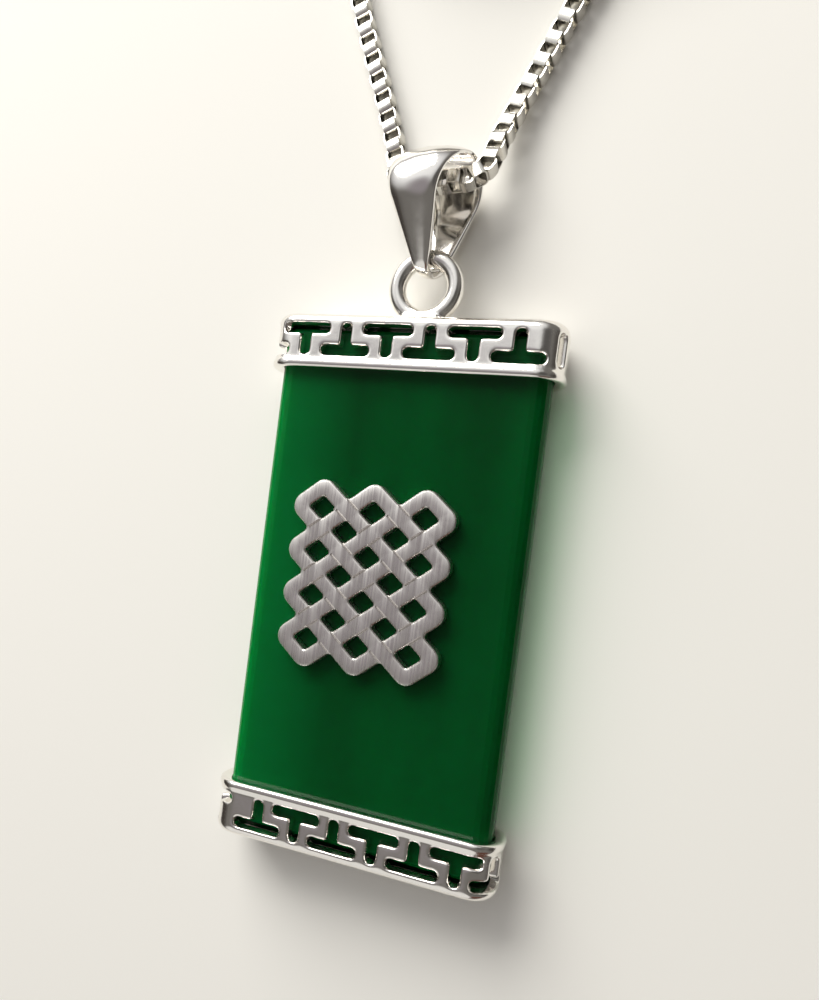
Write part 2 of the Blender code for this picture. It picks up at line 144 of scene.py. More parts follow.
def principled(name, **values):
    """A material with its Principled shader's own sockets set. Returns the material, its tree and shader."""
    material = bpy.data.materials.new(name)
    material.use_nodes = True
    shader = material.node_tree.nodes["Principled BSDF"]
    for socket, value in values.items():
        shader.inputs[socket.replace("_", " ")].default_value = value
    return material, material.node_tree, shader


def scratched(tree, shader, size_mm, low, high, height_mm, stretch=(1, 1, 1)):
    """Uneven polish: noise of that size moves the roughness between low and high and lifts the surface."""
    place = node(tree, "ShaderNodeTexCoord").outputs["Object"]
    scaled = node(tree, "ShaderNodeMapping", {"Vector": place, "Scale": stretch}).outputs["Vector"]
    grain = node(tree, "ShaderNodeTexNoise", {"Vector": scaled, "Scale": 1 / (size_mm * MM), "Detail": 3.0})
    rough = node(tree, "ShaderNodeMapRange", {"Value": grain.outputs["Fac"], "To Min": low, "To Max": high,
                                               "From Min": 0.3, "From Max": 0.7})
    tree.links.new(rough.outputs["Result"], shader.inputs["Roughness"])
    bump = node(tree, "ShaderNodeBump", {"Height": grain.outputs["Fac"], "Strength": 0.3,
                                         "Distance": height_mm * MM})
    tree.links.new(bump.outputs["Normal"], shader.inputs["Normal"])


def silver(name, code, size_mm, low, high, height_mm, stretch=(1, 1, 1)):
    """Bright silver of that colour, with an uneven polish."""
    material, tree, shader = principled(name, Base_Color=linear(code), Metallic=1.0)
    scratched(tree, shader, size_mm, low, high, height_mm, stretch)
    return material


# Rolled silver strip, bright from the draw plate: nearly white, with faint streaks.
chain_silver = silver("bright_rolled_silver", "DCD9D2", size_mm=0.3, low=0.14, high=0.26, height_mm=0.004)


def smooth_curve(points, step):
    """Points at most step apart on a smooth curve through the given ones."""
    ends = [2 * points[0] - points[1], *points, 2 * points[-1] - points[-2]]
    fine = []
    for before, start, end, after in zip(ends, ends[1:], ends[2:], ends[3:]):
        count = max(1, math.ceil((end - start).length / step))
        for i in range(count):
            t = i / count
            fine.append(0.5 * (2 * start + (end - before) * t
                               + (2 * before - 5 * start + 4 * end - after) * t**2
                               + (3 * start - before - 3 * end + after) * t**3))
    fine.append(points[-1])
    return fine


def strand(route, join, leave, height, end):
    """A strand's centreline: from the bail along the surface, round the coil, and in to the clasp."""
    points = [Vector(p) * MM for p in route]
    steps = math.ceil(abs(leave - join) / coil_step)
    for i in range(steps + 1):
        angle = join + (leave - join) * i / steps
        radius = coil_outer_radius - coil_pitch * abs(angle - join) / math.tau
        points.append(coil_middle + Vector((radius * math.cos(angle), radius * math.sin(angle), height)))
    points += [coil_middle + Vector(p) * MM for p in end]
    shift = Vector((0, plaque.y, 0))
    return [p + shift for p in smooth_curve(points, route_step)]


def box_links():
    """The node tree that hooks square links along a curve."""
    tree = bpy.data.node_groups.new("box_links", "GeometryNodeTree")
    tree.is_modifier = True
    tree.interface.new_socket("Geometry", in_out="INPUT", socket_type="NodeSocketGeometry")
    for name, value in (("Link length", link_length), ("Link width", chain_width), ("Band", link_band),
                        ("Wall", link_wall), ("Corner", link_corner), ("Pitch", link_pitch)):
        socket = tree.interface.new_socket(name, in_out="INPUT", socket_type="NodeSocketFloat")
        socket.default_value = value
        socket.subtype = "DISTANCE"
    tree.interface.new_socket("Material", in_out="INPUT", socket_type="NodeSocketMaterial")
    tree.interface.new_socket("Geometry", in_out="OUTPUT", socket_type="NodeSocketGeometry")
    given = node(tree, "NodeGroupInput").outputs

    def less_wall(size):
        shorter = node(tree, "ShaderNodeMath", {0: given[size], 1: given["Wall"]}, operation="SUBTRACT")
        return shorter.outputs[0]

    outline = node(tree, "GeometryNodeCurvePrimitiveQuadrilateral",
                   {"Width": less_wall("Link length"), "Height": less_wall("Link width")}).outputs["Curve"]
    folded = node(tree, "GeometryNodeFilletCurve", {"Curve": outline, "Count": 2, "Radius": given["Corner"]},
                  mode="POLY").outputs["Curve"]
    strip = node(tree, "GeometryNodeCurvePrimitiveQuadrilateral",
                 {"Width": given["Wall"], "Height": given["Band"]}).outputs["Curve"]
    link = node(tree, "GeometryNodeCurveToMesh", {"Curve": folded, "Profile Curve": strip}).outputs["Mesh"]
    link = node(tree, "GeometryNodeTransform", {"Geometry": link, "Rotation": Euler((0, math.pi / 2, 0))})
    spots = node(tree, "GeometryNodeCurveToPoints", {"Curve": given["Geometry"], "Length": given["Pitch"]},
                 mode="LENGTH")
    index = node(tree, "GeometryNodeInputIndex").outputs[0]
    odd = node(tree, "ShaderNodeMath", {0: index, 1: 2.0}, operation="MODULO").outputs[0]
    quarter = node(tree, "ShaderNodeMath", {0: odd, 1: math.pi / 2}, operation="MULTIPLY").outputs[0]
    turn = node(tree, "FunctionNodeAxisAngleToRotation", {"Axis": (0, 0, 1), "Angle": quarter}).outputs[0]
    aimed = node(tree, "FunctionNodeRotateRotation", {"Rotation": spots.outputs["Rotation"],
                                                      "Rotate By": turn}, rotation_space="LOCAL").outputs[0]
    hooked = node(tree, "GeometryNodeInstanceOnPoints",
                  {"Points": spots.outputs["Points"], "Instance": link.outputs[0],
                   "Rotation": aimed}).outputs[0]
    solid = node(tree, "GeometryNodeRealizeInstances", {"Geometry": hooked}).outputs[0]
    finished = node(tree, "GeometryNodeSetMaterial",
                    {"Geometry": solid, "Material": given["Material"]}).outputs[0]
    node(tree, "NodeGroupOutput", {"Geometry": finished})
    return tree


# Edges that bend by more degrees than this stay sharp.
usual_sharp = 40


def baked(name, source, sharp=usual_sharp):
    """A plain mesh object of what an object's modifiers make. The object itself is removed."""
    evaluated = source.evaluated_get(bpy.context.evaluated_depsgraph_get())
    mesh = bpy.data.meshes.new_from_object(evaluated)
    bpy.data.objects.remove(source)
    mesh.name = name
    mesh.shade_smooth()
    mesh.set_sharp_from_angle(angle=math.radians(sharp))
    piece = bpy.data.objects.new(name, mesh)
    bpy.context.scene.collection.objects.link(piece)
    return piece


def chain_strand(name, tree, path, lean):
    """One strand. Its links lean by that much at the bail and lie square in the coil."""
    curve = bpy.data.curves.new(name, "CURVE")
    curve.dimensions = "3D"
    curve.twist_mode = "Z_UP"
    spline = curve.splines.new("POLY")
    spline.points.add(len(path) - 1)
    gone = 0.0
    for i, (place, point) in enumerate(zip(spline.points, path)):
        gone += (point - path[i - 1]).length if i else 0
        share = min(1, max(0, (gone - lean_kept) / lean_fade))
        place.co = (*point, 1)
        place.tilt = lean * (1 - share)
    line = bpy.data.objects.new(name + "_line", curve)
    bpy.context.scene.collection.objects.link(line)
    hooked = line.modifiers.new("hooked", "NODES")
    hooked.node_group = tree
    material_input = next(item for item in tree.interface.items_tree if item.name == "Material")
    hooked[material_input.identifier] = chain_silver
    return baked(name, line)


links = box_links()
left_path = strand(left_route, left_join, left_leave, coil_layers[0], left_end)
right_path = strand(right_route, right_join, right_leave, coil_layers[1], right_end)
chain_left = chain_strand("box_chain_left", links, left_path, left_lean)
chain_right = chain_strand("box_chain_right", links, right_path, right_lean)
for piece, replaced in ((chain_left, ("chain_left", "chain_coil_lower")),
                        (chain_right, ("chain_right", "chain_coil_upper"))):
    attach(piece, "root")
    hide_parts(*replaced)


# Clasp: a spring ring of bent tube with a sliding lever and a soldered eye, as bright as the chain. It
# closes on a plain jump ring of round wire.
clasp_radius, clasp_wire = 1.95 * MM, 1.1 * MM
eye_radius, eye_wire = 0.75 * MM, 0.5 * MM
jump_ring_radius, jump_ring_wire = 1.25 * MM, 0.55 * MM
lever_size = (0.35 * MM, 0.75 * MM, 0.3 * MM)
lever_angle = math.radians(140)
clasp_tilt = math.radians(15)


def band(bm, row, following):
    """Faces between two closed rows of equally many vertices."""
    for a, b, c, d in zip(row, row[1:] + row[:1], following[1:] + following[:1], following):
        bm.faces.new((a, b, c, d))


def skin(bm, rows, closed=True):
    """Faces over closed rows of equally many vertices. The rows close on themselves or get flat ends."""
    if not closed:
        bm.faces.new(rows[0])
        bm.faces.new(rows[-1])
    for row, following in zip(rows, rows[1:] + rows[:closed]):
        band(bm, row, following)


def wire_ring(bm, radius, wire, matrix, segments=48, sides=16):
    """Adds a ring of round wire, about the matrix's Z, to a bmesh."""
    rows = []
    for i in range(segments):
        turn = Matrix.Rotation(math.tau * i / segments, 4, "Z")
        row = []
        for j in range(sides):
            angle = math.tau * j / sides
            spot = Vector((radius + wire / 2 * math.cos(angle), 0, wire / 2 * math.sin(angle)))
            row.append(bm.verts.new(matrix @ turn @ spot))
        rows.append(row)
    skin(bm, rows)


def shaped(name, bm, material):
    """The object of a finished bmesh: normals out, round faces smooth, sharp edges kept."""
    bmesh.ops.recalc_face_normals(bm, faces=bm.faces)
    mesh = bpy.data.meshes.new(name)
    bm.to_mesh(mesh)
    bm.free()
    mesh.shade_smooth()
    mesh.set_sharp_from_angle(angle=math.radians(usual_sharp))
    mesh.materials.append(material)
    piece = bpy.data.objects.new(name, mesh)
    bpy.context.scene.collection.objects.link(piece)
    return piece


def stands_for(piece, replaced):
    """Puts a finished piece in a CAD node's place."""
    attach(piece, "root")
    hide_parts(replaced)


clasp_low, clasp_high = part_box("clasp")
ring_reach = (clasp_radius + clasp_wire / 2) * math.cos(clasp_tilt)
clasp_middle = Vector((clasp_low[0] + ring_reach, (clasp_low[1] + clasp_high[1]) / 2,
                       (clasp_low[2] + clasp_high[2]) / 2))
clasp_turn = Matrix.Translation(clasp_middle) @ Matrix.Rotation(clasp_tilt, 4, "Y")
eye_reach = clasp_radius + clasp_wire / 2 + eye_radius - eye_wire / 2
bm = bmesh.new()
wire_ring(bm, clasp_radius, clasp_wire, clasp_turn)
eye_place = clasp_turn @ Matrix.Translation((eye_reach, 0, 0))
wire_ring(bm, eye_radius, eye_wire, eye_place, segments=32, sides=12)
lever_out = Matrix.Translation((clasp_radius + clasp_wire / 2, 0, 0))
lever_place = Matrix.Rotation(lever_angle, 4, "Z") @ lever_out
bmesh.ops.create_cube(bm, matrix=clasp_turn @ lever_place @ Matrix.Diagonal((*lever_size, 1)))
clasp = shaped("spring_ring_clasp", bm, chain_silver)
stands_for(clasp, "clasp")

jump_low, jump_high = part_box("jump_ring")
bm = bmesh.new()
jump_middle = (Vector(jump_low) + Vector(jump_high)) / 2
jump_place = Matrix.Translation(jump_middle) @ Matrix.Rotation(math.pi / 2, 4, "X")
wire_ring(bm, jump_ring_radius, jump_ring_wire, jump_place)
jump_ring = shaped("clasp_jump_ring", bm, chain_silver)
stands_for(jump_ring, "jump_ring")


# Bail: a tapering strap of silver sheet, dished along its length, bent into a teardrop round the ring with
# its two tips soldered under it, and polished.
strap_thickness = 0.5 * MM
strap_width, strap_tip_width = 5.3 * MM, 0.55 * MM
strap_taper = 1.2
strap_dish, dish_middle = 0.4 * MM, 0.6
edge_across, edge_out = 0.45, 0.7
section_points, loop_points = 32, 144
strap_top_radius, strap_reach = 2.67 * MM, 4.5 * MM
ring_wire, ring_gap, ring_shift = 1.29 * MM, 0.3 * MM, 0.2 * MM
strap_skew = 0.23
strap_turn = Euler((math.radians(8.1), math.radians(-9), math.radians(0.5)), "YXZ")


def teardrop(along, foot_radius, slope, top_arc, straight):
    """(y, z, outward normal) of half the strap's loop, that far along it from the top."""
    if along <= top_arc:
        angle = along / strap_top_radius
    else:
        angle = math.pi / 2 + slope
    y = strap_reach + strap_top_radius * math.cos(angle)
    z = strap_top_radius * math.sin(angle)
    down = min(max(along - top_arc, 0), straight)
    y -= down * math.cos(slope)
    z -= down * math.sin(slope)
    if along > top_arc + straight:
        angle += (along - top_arc - straight) / foot_radius
        y = foot_radius * math.cos(angle)
        z = foot_radius * math.sin(angle)
    return y, z, (math.cos(angle), math.sin(angle))


def strap_section(width, bend):
    """(across, outward) points round the dished strap's cross-section, with round edges."""
    points = []
    for i in range(section_points):
        angle = math.tau * i / section_points
        across = math.copysign(abs(math.cos(angle)) ** edge_across, math.cos(angle))
        out = math.copysign(abs(math.sin(angle)) ** edge_out, math.sin(angle))
        points.append((across * width / 2, out * strap_thickness / 2 + bend * (dish_middle - across**2)))
    return points


def make_bail(pivot, material):
    """The strap's loop, skewed a little to one side, turned the way it lies about the ring at pivot."""
    foot_radius = ring_wire / 2 + ring_gap + strap_thickness / 2
    slope = math.asin((strap_top_radius - foot_radius) / strap_reach)
    straight = strap_reach * math.cos(slope)
    top_arc = strap_top_radius * (math.pi / 2 + slope)
    half_loop = top_arc + straight + foot_radius * (math.pi / 2 - slope)
    bm = bmesh.new()
    rows = []
    for i in range(loop_points):
        share = 2 * i / loop_points - 1
        y, z, (normal_y, normal_z) = teardrop(abs(share) * half_loop, foot_radius, slope, top_arc, straight)
        taper = 1 - abs(share) ** strap_taper
        width = strap_tip_width + (strap_width - strap_tip_width) * taper
        row = []
        for across, out in strap_section(width, strap_dish * taper):
            deep = math.copysign(z + out * normal_z, share)
            local = Vector((across - strap_skew * deep, y + out * normal_y, deep))
            row.append(bm.verts.new(pivot + strap_turn.to_matrix() @ local))
        rows.append(row)
    skin(bm, rows)
    return shaped("strap_bail", bm, material)


# Polished and plated sheet: almost a mirror, with soft ripples from the polishing wheel.
strap_silver = silver("polished_silver_sheet", "F2EFEB", size_mm=1.6, low=0.08, high=0.16, height_mm=0.02)
ring_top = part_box("top_cap")[1][1]
bail_pivot = Vector((ring_shift, ring_top - ring_wire / 2, plaque.z))
stands_for(make_bail(bail_pivot, strap_silver), "bail")


# Caps: hollow castings with T-shaped windows, tumbled until every edge is soft, then silver plated. The
# hanging ring and its solder foot are one with the top cap. Both are glued over the slab's ends.
rim_bead, rim_bead_height, rim_lip = 0.14 * MM, 0.7 * MM, 0.18 * MM
bead_steps = 8
cap_wall, cap_end_wall, cap_end_rounding = 0.75 * MM, 0.8 * MM, 0.75 * MM
body_radius = 1.95 * MM
slot_margin, slot_height, slot_stroke, slot_bar = 0.76 * MM, 2.44 * MM, 0.86 * MM, 3.84 * MM
slot_corner, slot_fillet = 0.38 * MM, 0.2 * MM
slot_draft = 0.2
slot_over, slot_under = 0.45 * MM, 0.95 * MM
slot_strip = 0.36 * MM
slot_count = 6
front_pitch, back_pitch, back_shift, side_shift = 3.18 * MM, 3.03 * MM, 0.62 * MM, 1.2 * MM
hanging_ring_radius = 2.21 * MM
foot_width, foot_depth, foot_roundness = 4.2 * MM, 1.8 * MM, 0.9
foot_tiers = ((1, -0.3 * MM), (1, 0.06 * MM), (0.86, 0.3 * MM), (0.62, 0.75 * MM))
end_step, body_corner_steps, small_corner_steps = 15, 12, 6
hair = 0.001 * MM
cast_step_mm, cast_wear, cast_passes = 0.085, 0.5, 8
cap_low, cap_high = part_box("bottom_cap")
body_width = cap_high[0] - cap_low[0] - 2 * rim_bead
body_thickness = cap_high[2] - cap_low[2] - 2 * rim_bead
cap_height = cap_high[1] - cap_low[1]
top_end_y = 2 * plaque.y - cap_low[1]

# Plated casting: bright and a little wavy, because tumbling leaves no face quite flat.
cast_silver = silver("silver_plated_casting", "F4F1EC", size_mm=0.9, low=0.1, high=0.2, height_mm=0.03)


def rounded(points, radii, steps):
    """The closed outline through points, each corner made an arc of its own radius."""
    outline = []
    for i, corner in enumerate(points):
        before = (points[i - 1] - corner).normalized()
        after = (points[(i + 1) % len(points)] - corner).normalized()
        half = before.angle(after) / 2
        middle = (before + after).normalized()
        centre = corner + middle * (radii[i] / math.sin(half))
        side = 1 if before.cross(after).z > 0 else -1
        for step in range(steps + 1):
            angle = side * (math.pi / 2 - half) * (1 - 2 * step / steps)
            outline.append(centre - Matrix.Rotation(angle, 3, "Z") @ middle * radii[i])
    return outline


def rectangle(half_x, half_z, radius, steps):
    """The outline of a rectangle with round corners."""
    corners = [Vector((x * half_x, z * half_z, 0)) for x, z in ((1, 1), (-1, 1), (-1, -1), (1, -1))]
    return rounded(corners, [radius] * 4, steps)


def cap_section(out, down):
    """The cap's cross-section that far outside its wall and that far from its closed end."""
    outline = rectangle(body_width / 2 + out, body_thickness / 2 + out, body_radius + out,
                        body_corner_steps)
    return [Vector((p.x, -down, p.y)) for p in outline]


def cap_body(bm):
    """Adds the cup to a bmesh: closed end at y = 0, open end at y = -cap_height."""
    sections = []
    for angle in range(90, -1, -end_step):
        turn = math.radians(angle)
        sections.append(cap_section(cap_end_rounding * (math.cos(turn) - 1),
                                    cap_end_rounding * (1 - math.sin(turn))))
    bead_start = cap_height - rim_bead_height
    for step in range(bead_steps + 1):
        swell = rim_bead * math.sin(math.pi * step / bead_steps) ** 0.5
        lip = rim_lip if step == bead_steps else 0
        sections.append(cap_section(swell - lip, bead_start + rim_bead_height * step / bead_steps))
    sections.append(cap_section(-cap_wall, cap_height - rim_lip))
    sections.append(cap_section(-cap_wall, cap_end_wall))
    skin(bm, [[bm.verts.new(point) for point in section] for section in sections], closed=False)


def wall_point(along, out):
    """(x, z) of the point that lies out outside a cap's wall, and along round it from the face's middle."""
    half_flat, side_flat = body_width / 2 - body_radius, body_thickness - 2 * body_radius
    quarter = body_radius * math.pi / 2
    x, z, heading = 0.0, body_thickness / 2, 0.0
    for length, bent in ((half_flat, False), (quarter, True), (side_flat, False), (quarter, True),
                         (2 * half_flat, False), (quarter, True), (side_flat, False), (quarter, True),
                         (half_flat, False)):
        step = min(along, length)
        if bent:
            centre_x = x - body_radius * math.sin(heading)
            centre_z = z - body_radius * math.cos(heading)
            heading += step / body_radius
            x = centre_x + body_radius * math.sin(heading)
            z = centre_z + body_radius * math.cos(heading)
        else:
            x += step * math.cos(heading)
            z -= step * math.sin(heading)
        along -= step
    return x + out * math.sin(heading), z + out * math.cos(heading)


def window_outline(bar_at_end, bar, inset):
    """A window's outline: (along, down) from its middle and the closed end, drawn inset metres inside it."""
    half_bar, half_stem = bar / 2 - inset, slot_stroke / 2 - inset
    top, bottom = slot_margin + inset, slot_margin + slot_height - inset
    step = slot_margin + slot_stroke - inset
    corners = [(-half_bar, top), (half_bar, top), (half_bar, step), (half_stem, step), (half_stem, bottom),
               (-half_stem, bottom), (-half_stem, step), (-half_bar, step)]
    convex = slot_corner - inset
    radii = [convex, convex, convex, slot_fillet, convex, convex, slot_fillet, convex]
    plain_slot = bar < 2 * slot_stroke
    if plain_slot:
        corners = [(-half_stem, top), (half_stem, top), (half_stem, bottom), (-half_stem, bottom)]
        radii = [convex] * 4
    if not bar_at_end:
        corners = [(x, top + bottom - down) for x, down in corners]
    return rounded([Vector((x, down, 0)) for x, down in corners], radii, small_corner_steps)


def window_cutter(bm, along, bar_at_end, bar):
    """Adds a window's cutter, narrower inside, drawn flat, cut into strips and bent round the wall."""
    around = 2 * (body_width + body_thickness) - (8 - 2 * math.pi) * body_radius
    flat = bmesh.new()
    rows = [[flat.verts.new((p.x, -p.y, out)) for p in window_outline(bar_at_end, bar, -out * slot_draft)]
            for out in (slot_over, -slot_under)]
    skin(flat, rows, closed=False)
    bmesh.ops.triangulate(flat, faces=flat.faces)
    strips = round(bar / slot_strip)
    for k in range(strips + 1):
        bmesh.ops.bisect_plane(flat, geom=[*flat.verts, *flat.edges, *flat.faces], dist=hair,
                               plane_co=((k - strips / 2) * slot_strip, 0, 0), plane_no=(1, 0, 0))
    for vert in flat.verts:
        x, z = wall_point((along + vert.co.x) % around, vert.co.z)
        vert.co = (x, vert.co.y, z)
    bent = bpy.data.meshes.new("window")
    flat.to_mesh(bent)
    flat.free()
    bm.from_mesh(bent)
    bpy.data.meshes.remove(bent)


def cap_windows(towards_face, right_bar):
    """The cutter for all the windows of a cap, whose side windows sit nearer to the face on show.

    The right side's window is a plain slot where right_bar is 0.
    """
    bm = bmesh.new()
    half_round = body_width + body_thickness - (4 - math.pi) * body_radius
    shift = side_shift * towards_face
    for k in range(slot_count):
        place = k - (slot_count - 1) / 2
        window_cutter(bm, place * front_pitch, k % 2 == 0, slot_bar)
        window_cutter(bm, half_round + place * back_pitch - back_shift, k % 2 == 1, slot_bar)
    window_cutter(bm, half_round / 2 - shift, True, right_bar)
    window_cutter(bm, shift - half_round / 2, False, slot_bar)
    return bm


def cast_cap(name, windows, with_ring):
    """A cap in even faces of about cast_step_mm, with its edges worn round."""
    bm = bmesh.new()
    cap_body(bm)
    solid = shaped(name + "_solid", bm, cast_silver)
    cutter = shaped(name + "_windows", windows, cast_silver)
    cut = solid.modifiers.new("windows", "BOOLEAN")
    cut.operation = "DIFFERENCE"
    cut.object = cutter
    solid = baked(name + "_cut", solid)
    bpy.data.objects.remove(cutter)
    bm = bmesh.new()
    bm.from_mesh(solid.data)
    if with_ring:
        ring_y = ring_top - top_end_y - hanging_ring_radius - ring_wire / 2
        ring_place = Matrix.Translation((ring_shift, ring_y, 0))
        wire_ring(bm, hanging_ring_radius, ring_wire, ring_place, segments=72, sides=24)
        rows = []
        for share, y in foot_tiers:
            half_x, half_z = foot_width * share / 2, foot_depth * share / 2
            outline = rectangle(half_x, half_z, half_z * foot_roundness, small_corner_steps)
            rows.append([bm.verts.new((p.x + ring_shift, y, p.y)) for p in outline])
        skin(bm, rows, closed=False)
    bmesh.ops.recalc_face_normals(bm, faces=bm.faces)
    bmesh.ops.scale(bm, vec=(1 / MM, 1 / MM, 1 / MM), verts=bm.verts)
    bm.to_mesh(solid.data)
    bm.free()
    even = solid.modifiers.new("even", "REMESH")
    even.mode = "VOXEL"
    even.voxel_size = cast_step_mm
    worn = solid.modifiers.new("worn", "SMOOTH")
    worn.factor = cast_wear
    worn.iterations = cast_passes
    return baked(name, solid, sharp=60)


for name, turned in (("top_cap", False), ("bottom_cap", True)):
    cap = cast_cap("cast_" + name, cap_windows(-1 if turned else 1, slot_bar if turned else 0), not turned)
    end_y = cap_low[1] if turned else top_end_y
    turn = Matrix.Rotation(math.pi if turned else 0, 4, "X")
    cap.data.transform(Matrix.Translation((0, end_y, plaque.z)) @ turn @ Matrix.Scale(MM, 4))
    stands_for(cap, name)


# Slab: a bar of green stone, cut and polished flat, with rounded long sides. It is slightly translucent:
# light goes in at the left side and comes out, green, at the right one.
cloud_size, cloud_stretch = 5 * MM, (1, 0.35, 1)
painted_light_full, painted_light_reach = 0.8 * MM, 7.0 * MM
light_depth = 4 * MM

# Polished jade: little glare over a deep green that light sinks into, with soft clouds drawn out along
# the bar, and a base colour painted lighter near its left side: painted light where light goes into the
# stone.
jade, tree, shader = principled("polished_green_jade", Roughness=0.12, Specular_IOR_Level=0.08,
                                Subsurface_Weight=1.0, Subsurface_Radius=(0.1, 1.0, 0.35),
                                Subsurface_Scale=light_depth)
place = node(tree, "ShaderNodeTexCoord").outputs["Object"]
drawn = node(tree, "ShaderNodeMapping", {"Vector": place, "Scale": cloud_stretch}).outputs["Vector"]
clouds = node(tree, "ShaderNodeTexNoise", {"Vector": drawn, "Scale": 1 / cloud_size, "Detail": 2.0,
                                           "Roughness": 0.4}).outputs["Fac"]
mottled = node(tree, "ShaderNodeValToRGB", {"Fac": clouds})
for stop, position, code in zip(mottled.color_ramp.elements, (0.3, 0.7), ("044319", "02501F")):
    stop.position = position
    stop.color = linear(code)
across = node(tree, "ShaderNodeSeparateXYZ", {"Vector": place}).outputs["X"]
# Painted light: the base colour turns lighter green towards the left side, where light goes into the stone.
painted_light_side = node(tree, "ShaderNodeMapRange", {"Value": across, "From Min": slab_low[0] + painted_light_reach,
                                             "From Max": slab_low[0] + painted_light_full})
painted_light_colour = node(tree, "ShaderNodeMixRGB", {"Fac": painted_light_side.outputs["Result"],
                                          "Color1": mottled.outputs["Color"],
                                          "Color2": linear("046A2E")})
tree.links.new(painted_light_colour.outputs["Color"], shader.inputs["Base Color"])
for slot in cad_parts["jade_slab"].material_slots:
    slot.material = jade


# Emblem: an endless knot sawn from silver plate, brushed along the slab's length and glued to the face.
# Short engraved lines show where each strand passes under the other.
emblem_width, emblem_height, emblem_thickness = 12.2 * MM, 13.4 * MM, 0.9 * MM
emblem_edge = 0.2 * MM
knot_columns, knot_rows = 3, 4
knot_band = 1.15 * MM
knot_reach = knot_band * 0.22
knot_tip_radius = knot_band * 0.9
knot_notch_radius, knot_window_radius = 0.3 * MM, 0.22 * MM
knot_corner_steps, knot_window_steps = 8, 5
groove_width, groove_depth = 0.2 * MM, 0.12 * MM
cell_x = (emblem_width - 2 * knot_reach) / knot_columns
cell_y = (emblem_height - 2 * knot_reach) / knot_rows
strand_slope = math.atan2(cell_y, cell_x)


def lattice(i, j, dx=0.0, dy=0.0):
    """The point dx, dy from a node of the knot's lattice."""
    return Vector(((i - knot_columns) * cell_x / 2 + dx, (j - knot_rows) * cell_y / 2 + dy, 0))


def knot_outlines(inset):
    """The plate's outer outline and its windows, all drawn inset metres inside the metal."""
    half_band = knot_band / 2 - inset
    out_x, out_y = half_band / math.sin(strand_slope), half_band / math.cos(strand_slope)
    last_i, last_j = 2 * knot_columns, 2 * knot_rows
    corners = []
    for j in range(1, last_j):
        corners.append((j % 2, lattice(last_i if j % 2 else last_i - 1, j, out_x)))
    for i in range(last_i - 1, 0, -1):
        corners.append((i % 2, lattice(i, last_j if i % 2 else last_j - 1, 0, out_y)))
    for j in range(last_j - 1, 0, -1):
        corners.append((j % 2, lattice(0 if j % 2 else 1, j, -out_x)))
    for i in range(1, last_i):
        corners.append((i % 2, lattice(i, 0 if i % 2 else 1, 0, -out_y)))
    radii = [knot_tip_radius - inset if tip else knot_notch_radius + inset for tip, _ in corners]
    outlines = [rounded([corner for _, corner in corners], radii, knot_corner_steps)]
    for i in range(1, last_i):
        for j in range(1, last_j):
            if (i + j) % 2 == 0:
                window = [lattice(i, j, cell_x / 2 - out_x), lattice(i, j, 0, cell_y / 2 - out_y),
                          lattice(i, j, out_x - cell_x / 2), lattice(i, j, 0, out_y - cell_y / 2)]
                outlines.append(rounded(window, [knot_window_radius + inset] * 4, knot_window_steps))
    return outlines


def knot_plate():
    """The plate without its engraving, in millimetres, with its upper edges rounded."""
    levels = [(0, 0)]
    for angle in (0, 30, 60, 90):
        turn = math.radians(angle)
        levels.append((emblem_thickness - emblem_edge * (1 - math.sin(turn)),
                       emblem_edge * (1 - math.cos(turn))))
    bm = bmesh.new()
    rows = []
    for z, inset in levels:
        rows.append([[bm.verts.new((point + Vector((0, 0, z))) / MM) for point in outline]
                     for outline in knot_outlines(inset)])
    for lower, upper in zip(rows, rows[1:]):
        for ring, above in zip(lower, upper):
            band(bm, ring, above)
    for row in (rows[0], rows[-1]):
        edges = [bm.edges.get((a, b)) for ring in row for a, b in zip(ring, ring[1:] + ring[:1])]
        bmesh.ops.triangle_fill(bm, edges=edges, use_beauty=True)
    return bm


def engraving():
    """V-shaped cutters, in millimetres, along both edges of each strand where it passes over another."""
    bm = bmesh.new()
    half_length = knot_band / 2 / math.sin(2 * strand_slope)
    profile = ((-groove_width, emblem_thickness + groove_depth), (0, emblem_thickness - groove_depth),
               (groove_width, emblem_thickness + groove_depth))
    for i in range(1, 2 * knot_columns):
        for j in range(1, 2 * knot_rows):
            if (i + j) % 2 == 0:
                continue
            turn = Matrix.Rotation(strand_slope if i % 2 else -strand_slope, 3, "Z")
            for side in (-1, 1):
                ends = []
                for end in (-half_length, half_length):
                    spots = [Vector((end, side * knot_band / 2 + wide, high)) for wide, high in profile]
                    ends.append([bm.verts.new((lattice(i, j) + turn @ spot) / MM) for spot in spots])
                skin(bm, ends, closed=False)
    return bm


# Plate brushed with one coarse stroke after another along Y, before it was sawn out.
brushed_silver = silver("brushed_silver_plate", "E9E5E1", size_mm=0.12, low=0.2, high=0.38,
                        height_mm=0.01, stretch=(1, 0.02, 1))
plate = shaped("knot_plate", knot_plate(), brushed_silver)
cutter = shaped("engraving", engraving(), brushed_silver)
cut = plate.modifiers.new("engraved", "BOOLEAN")
cut.operation = "DIFFERENCE"
cut.object = cutter
emblem = baked("brushed_knot_emblem", plate, sharp=25)
bpy.data.objects.remove(cutter)
emblem_low, emblem_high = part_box("emblem")
emblem_place = Vector(((emblem_low[0] + emblem_high[0]) / 2, (emblem_low[1] + emblem_high[1]) / 2,
                       emblem_low[2]))
emblem.data.transform(Matrix.Translation(emblem_place) @ Matrix.Scale(MM, 4))
stands_for(emblem, "emblem")


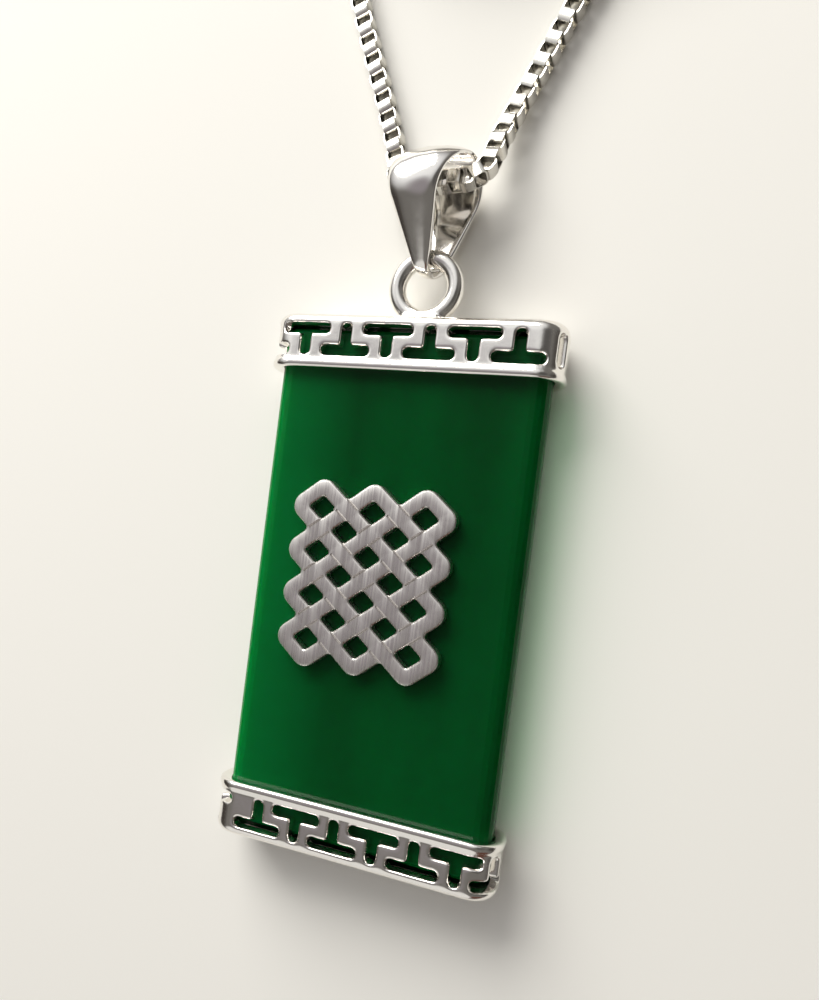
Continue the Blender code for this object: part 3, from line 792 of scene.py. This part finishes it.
# Floor: a sheet of warm white photo paper under the pendant, wider than the picture on all sides. It is
# matt, and it lies a hair under the surface that the pendant rests on.
floor_half = 400 * MM
floor_drop = 0.02 * MM
paper = principled("matt_photo_paper", Base_Color=linear("F6F4EE"), Roughness=0.9)[0]
floor_mesh = bpy.data.meshes.new("paper_floor")
floor_mesh.from_pydata([(-floor_half, -floor_half, -floor_drop), (floor_half, -floor_half, -floor_drop),
                        (floor_half, floor_half, -floor_drop), (-floor_half, floor_half, -floor_drop)],
                       [], [(0, 1, 2, 3)])
floor_mesh.materials.append(paper)
floor = bpy.data.objects.new("paper_floor", floor_mesh)
bpy.context.scene.collection.objects.link(floor)


# Light: a large soft window, low beyond the plaque's upper left, in a grey room. The room's bright wall
# towards the viewer, its darker sides and a brown corner are what the silver shows.
window_place, window_size, window_power = (-0.2, 0.35, 0.22), (0.34, 0.28), 2.75
glow_gap = 0.1 * MM
glow_size, glow_power, glow_tilt = (1.2 * MM, 32 * MM), 0.00011, math.radians(-65)
room_grey, room_brightness = "76736F", 0.88
# Parts of the room: direction, degrees round it in full colour, degrees where it has faded, and colour.
room_parts = (
    ((-0.35, 0.62, 0.7), 20, 55, "FFFFFF"),
    ((0.5, 0.1, 0.8), 8, 25, "5A5856"),
    ((-1, -0.3, 0.12), 8, 34, "45403C"),
    ((1, 0, 0.1), 8, 34, "4A4643"),
    ((-0.3, -0.07, 0.95), 4, 26, "989295"),
    ((-0.25, -0.85, 0.42), 23, 31, "F0EEEA"),
    ((0.45, -0.8, 0.3), 8, 24, "64453B"),
)


def lamp(name, place, size, power, code):
    """A rectangular light of that size in metres, aimed at the origin."""
    light = bpy.data.lights.new(name, "AREA")
    light.shape = "RECTANGLE"
    light.size, light.size_y = size
    light.energy = power
    light.color = linear(code)[:3]
    holder = bpy.data.objects.new(name, light)
    bpy.context.scene.collection.objects.link(holder)
    holder.location = place
    holder.rotation_euler = (-Vector(place)).to_track_quat("-Z", "Y").to_euler()
    return holder


def patch(tree, ray, towards, inner, outer):
    """1 where a ray goes within inner degrees of a direction, fading to 0 at outer degrees."""
    aim = Vector(towards).normalized()
    near = node(tree, "ShaderNodeVectorMath", {0: ray, 1: aim}, operation="DOT_PRODUCT").outputs["Value"]
    return node(tree, "ShaderNodeMapRange", {"Value": near, "From Min": math.cos(math.radians(outer)),
                                             "From Max": math.cos(math.radians(inner))},
                interpolation_type="SMOOTHSTEP").outputs["Result"]


lamp("window", window_place, window_size, window_power, "FFFDF8")
# What the stone passes on: a faint green light along its right side.
glow_place = (slab_high[0] + glow_gap, plaque.y, plaque.z)
glow = lamp("light_through_jade", glow_place, glow_size, glow_power, "50FF80")
glow.rotation_euler = (0, glow_tilt, 0)
glow.visible_camera = False
glow.visible_glossy = False

world = bpy.data.worlds.new("room")
world.use_nodes = True
tree = world.node_tree
ray = node(tree, "ShaderNodeTexCoord").outputs["Generated"]
room = linear(room_grey)
for towards, inner, outer, code in room_parts:
    share = patch(tree, ray, towards, inner, outer)
    mixed = node(tree, "ShaderNodeMixRGB", {"Fac": share, "Color1": room, "Color2": linear(code)})
    room = mixed.outputs["Color"]
tree.links.new(room, tree.nodes["Background"].inputs["Color"])
tree.nodes["Background"].inputs["Strength"].default_value = room_brightness
bpy.context.scene.world = world
# The white paper and the silver are shown as they are, without the default flattening of bright tones.
bpy.context.scene.view_settings.view_transform = "Standard"
